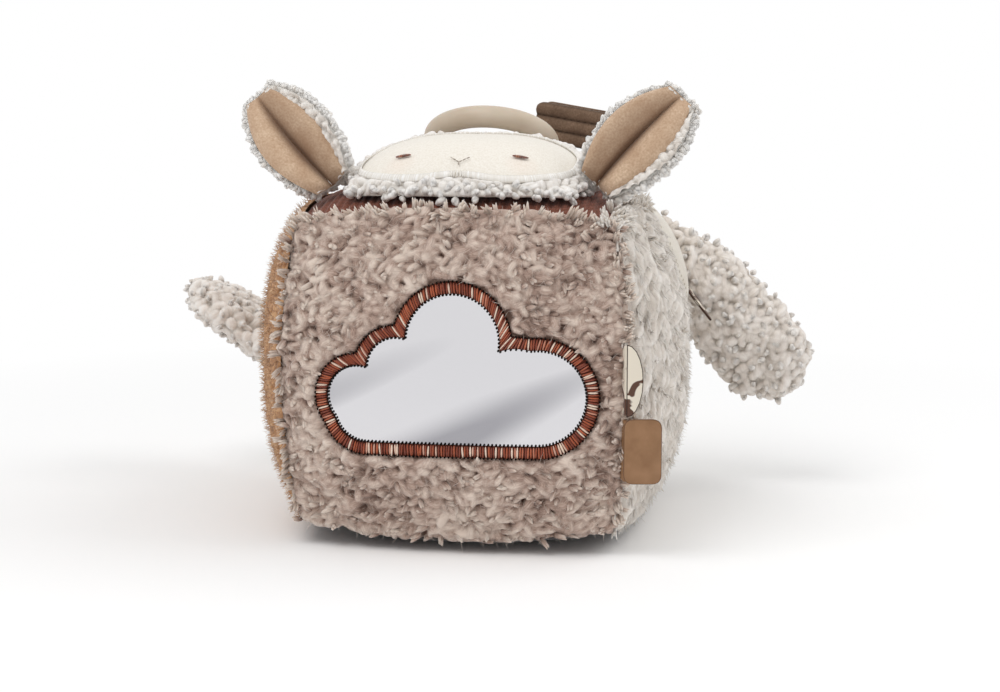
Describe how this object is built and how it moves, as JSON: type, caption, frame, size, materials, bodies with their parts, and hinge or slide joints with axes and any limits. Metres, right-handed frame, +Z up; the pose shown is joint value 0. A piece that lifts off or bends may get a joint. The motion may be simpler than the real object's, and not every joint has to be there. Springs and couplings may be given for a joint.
{
  "type": "soft activity block",
  "caption": "Plush activity cube for a baby with a lamb's head and ears on top, a cloud-shaped mirror, arms, a grasping ring, a strap and side tabs.",
  "frame": {"origin": "middle of the flat underside of the block, on the surface that it stands on", "axes": "+Z up, -Y out of the side with the mirror, +X to that side's right as it is looked at"},
  "size_m": [0.3067, 0.1834, 0.191],
  "materials": {
    "fibre_filling": "loose white polyester fibre",
    "rattle_shell": "smooth satin plastic",
    "rattle_bead": "smooth plastic",
    "taupe_sherpa": "curly sherpa pile, matt",
    "mirror_backing_felt": "thin matt felt",
    "mirror_foil": "silvered flexible film",
    "rust_thread": "close satin stitch, slight sheen",
    "camel_plush": "short curly plush, matt",
    "long_plush": "long straight plush, matt",
    "ivory_velour": "short velour, matt with a soft sheen",
    "rust_rib_knit": "ribbed knit, matt",
    "brown_velour": "short velour, matt",
    "brown_thread": "satin embroidery thread",
    "white_fleece": "fluffy fleece, matt",
    "white_thread": "padded satin stitch, slight sheen",
    "curly_sherpa": "curly sherpa pile, matt",
    "crinkle_foil": "thin rustling film",
    "tan_velour": "short velour, matt with a soft sheen",
    "ring_silicone": "smooth matt silicone",
    "ribbon": "woven ribbon",
    "taupe_velour": "short velour, matt with a soft sheen",
    "printed_satin": "woven satin tape printed in brown",
    "leatherette": "smooth tan leatherette"
  },
  "bodies": {
    "block": {"filling_lower": "fibre_filling", "filling_upper": "fibre_filling", "head_filling": "fibre_filling", "rattle_shell_lower": "rattle_shell", "rattle_shell_upper": "rattle_shell", "front_panel": "taupe_sherpa", "left_panel": "camel_plush", "right_panel": "long_plush", "back_panel": "ivory_velour", "top_panel": "rust_rib_knit", "bottom_panel": "brown_velour", "mirror_backing": "mirror_backing_felt", "mirror_foil": "mirror_foil", "mirror_stitch_border": "rust_thread", "head_cover": "white_fleece", "face_patch": "ivory_velour", "face_piping": "white_thread", "eye_left": "brown_thread", "eye_right": "brown_thread", "nose_stitch": "brown_thread", "ring_loop": "ribbon"},
    "ear_left": {"ear_left_outer": "curly_sherpa", "ear_left_crinkle_foil": "crinkle_foil", "ear_left_lining": "tan_velour"},
    "ear_right": {"ear_right_outer": "curly_sherpa", "ear_right_crinkle_foil": "crinkle_foil", "ear_right_lining": "tan_velour"},
    "arm_left": {"arm_left_skin": "curly_sherpa", "arm_left_filling": "fibre_filling"},
    "arm_right": {"arm_right_skin": "curly_sherpa", "arm_right_filling": "fibre_filling"},
    "ring": {"teether_ring": "ring_silicone"},
    "strap": {"hanging_strap": "taupe_velour"},
    "front_tab": {"front_side_tab": "printed_satin"},
    "label": {"label_tab": "leatherette"},
    "back_tab": {"back_side_tab": "printed_satin"},
    "bead_1": {"rattle_bead_1": "rattle_bead"},
    "bead_2": {"rattle_bead_2": "rattle_bead"},
    "bead_3": {"rattle_bead_3": "rattle_bead"}
  },
  "joints": [
    {"name": "ear_left_flop", "type": "hinge", "parent": "block", "child": "ear_left", "pos_m": [-0.0565, -0.0305, 0.1487], "axis": [1, 0, 0], "range_deg": [-50, 2], "stiffness_Nm_per_rad": 0.008},
    {"name": "ear_right_flop", "type": "hinge", "parent": "block", "child": "ear_right", "pos_m": [0.0565, -0.0305, 0.1487], "axis": [1, 0, 0], "range_deg": [-50, 2], "stiffness_Nm_per_rad": 0.008},
    {"name": "arm_left_swing", "type": "hinge", "parent": "block", "child": "arm_left", "pos_m": [-0.07536, 0.07243, 0.0385], "axis": [0, 1, 0], "range_deg": [-30, 30], "stiffness_Nm_per_rad": 0.06},
    {"name": "arm_right_swing", "type": "hinge", "parent": "block", "child": "arm_right", "pos_m": [0.07661, 0.07132, 0.12], "axis": [0, 1, 0], "range_deg": [-60, 2], "stiffness_Nm_per_rad": 0.06},
    {"name": "ring_tilt", "type": "hinge", "parent": "block", "child": "ring", "pos_m": [-0.002, 0.07125, 0.1524], "axis": [1, 0, 0], "range_deg": [-45, 2], "stiffness_Nm_per_rad": 0.05},
    {"name": "strap_flop", "type": "hinge", "parent": "block", "child": "strap", "pos_m": [0.055, 0.0696, 0.1459], "axis": [0.9397, -0.342, 0], "range_deg": [-80, 0], "stiffness_Nm_per_rad": 0.008},
    {"name": "front_tab_flex", "type": "hinge", "parent": "block", "child": "front_tab", "pos_m": [0.0727, -0.0792, 0.0757], "axis": [0, 0, 1], "range_deg": [-50, 2], "stiffness_Nm_per_rad": 0.0004},
    {"name": "label_flex", "type": "hinge", "parent": "block", "child": "label", "pos_m": [0.0717, -0.0793, 0.0465], "axis": [0, 0, 1], "range_deg": [-50, 2], "stiffness_Nm_per_rad": 0.0004},
    {"name": "back_tab_flex", "type": "hinge", "parent": "block", "child": "back_tab", "pos_m": [0.0774, 0.0707, 0.108], "axis": [0, 0, 1], "range_deg": [-4, 2], "stiffness_Nm_per_rad": 0.0004},
    {"name": "bead_1_slide", "type": "slide", "parent": "block", "child": "bead_1", "axis": [0, 0, 1], "range_m": [0, 0.02]},
    {"name": "bead_2_slide", "type": "slide", "parent": "block", "child": "bead_2", "axis": [0, 0, 1], "range_m": [0, 0.02]},
    {"name": "bead_3_slide", "type": "slide", "parent": "block", "child": "bead_3", "axis": [0, 0, 1], "range_m": [0, 0.02]}
  ]
}
